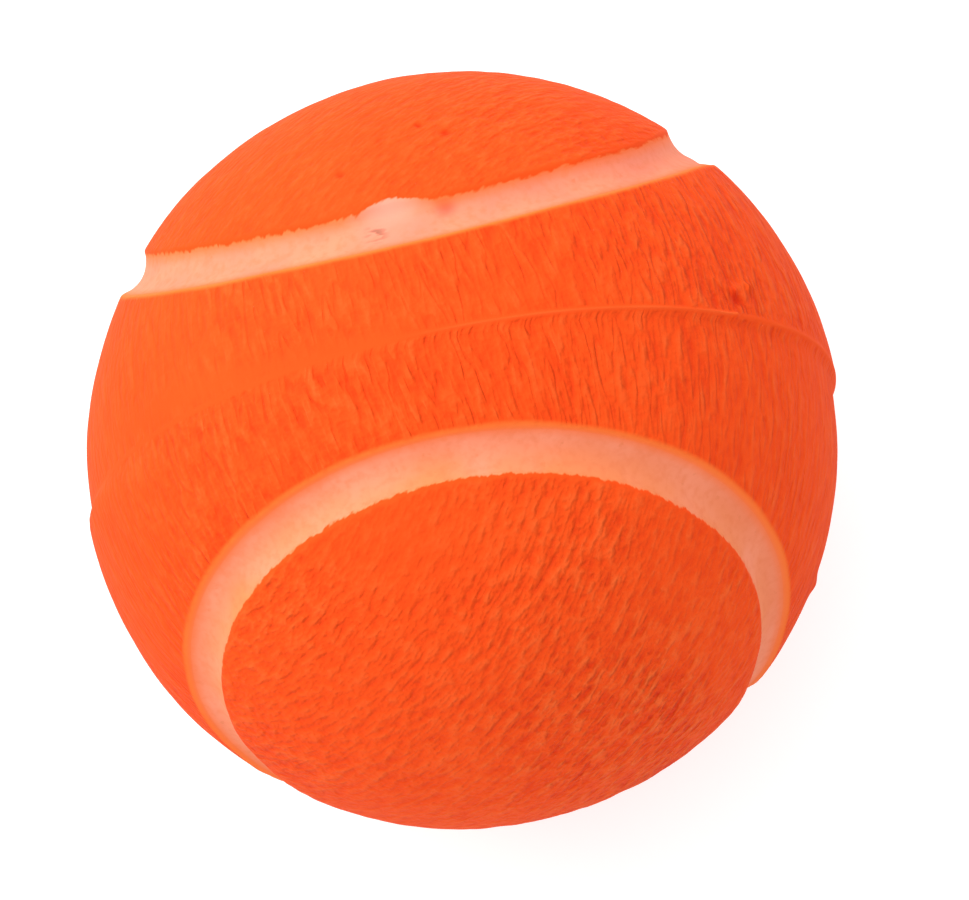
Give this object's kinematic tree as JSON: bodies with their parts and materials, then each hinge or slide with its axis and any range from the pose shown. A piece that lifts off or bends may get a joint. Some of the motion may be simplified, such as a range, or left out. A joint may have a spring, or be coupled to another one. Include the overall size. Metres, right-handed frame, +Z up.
{
  "type": "squeaky dog tennis ball",
  "caption": "Cast latex dog ball in the pattern of a tennis ball, with a painted seam groove, fibre filling and a reed squeaker pressed into its pour hole.",
  "frame": {"origin": "centre of the flat land that the ball stands on", "axes": "+Z up through the squeaker and the middle of the ball to the waist of the upper panel; the mould's parting line lies in the XZ plane"},
  "size_m": [0.066, 0.065, 0.0644],
  "materials": {
    "orange_latex": "matt, brushed-felt texture cast in",
    "cream_paint": "matt latex paint",
    "polyester_wadding": "loose fibre",
    "barrel_plastic": "as moulded",
    "cap_plastic": "as moulded",
    "board_plastic": "as moulded",
    "reed_plastic": "thin film",
    "wedge_plastic": "as moulded"
  },
  "bodies": {
    "ball": {"latex_skin": "orange_latex", "seam_paint": "cream_paint", "fibre_fill": "polyester_wadding", "squeaker_barrel": "barrel_plastic", "squeaker_cap": "cap_plastic", "tone_board": "board_plastic", "reed_wedge": "wedge_plastic"},
    "reed": {"reed": "reed_plastic"}
  },
  "joints": [
    {"name": "reed_swing", "type": "hinge", "parent": "ball", "child": "reed", "pos_m": [0, 0, 0.0038], "axis": [1, 0, 0], "range_deg": [-4, 4], "stiffness_Nm_per_rad": 0.002}
  ]
}
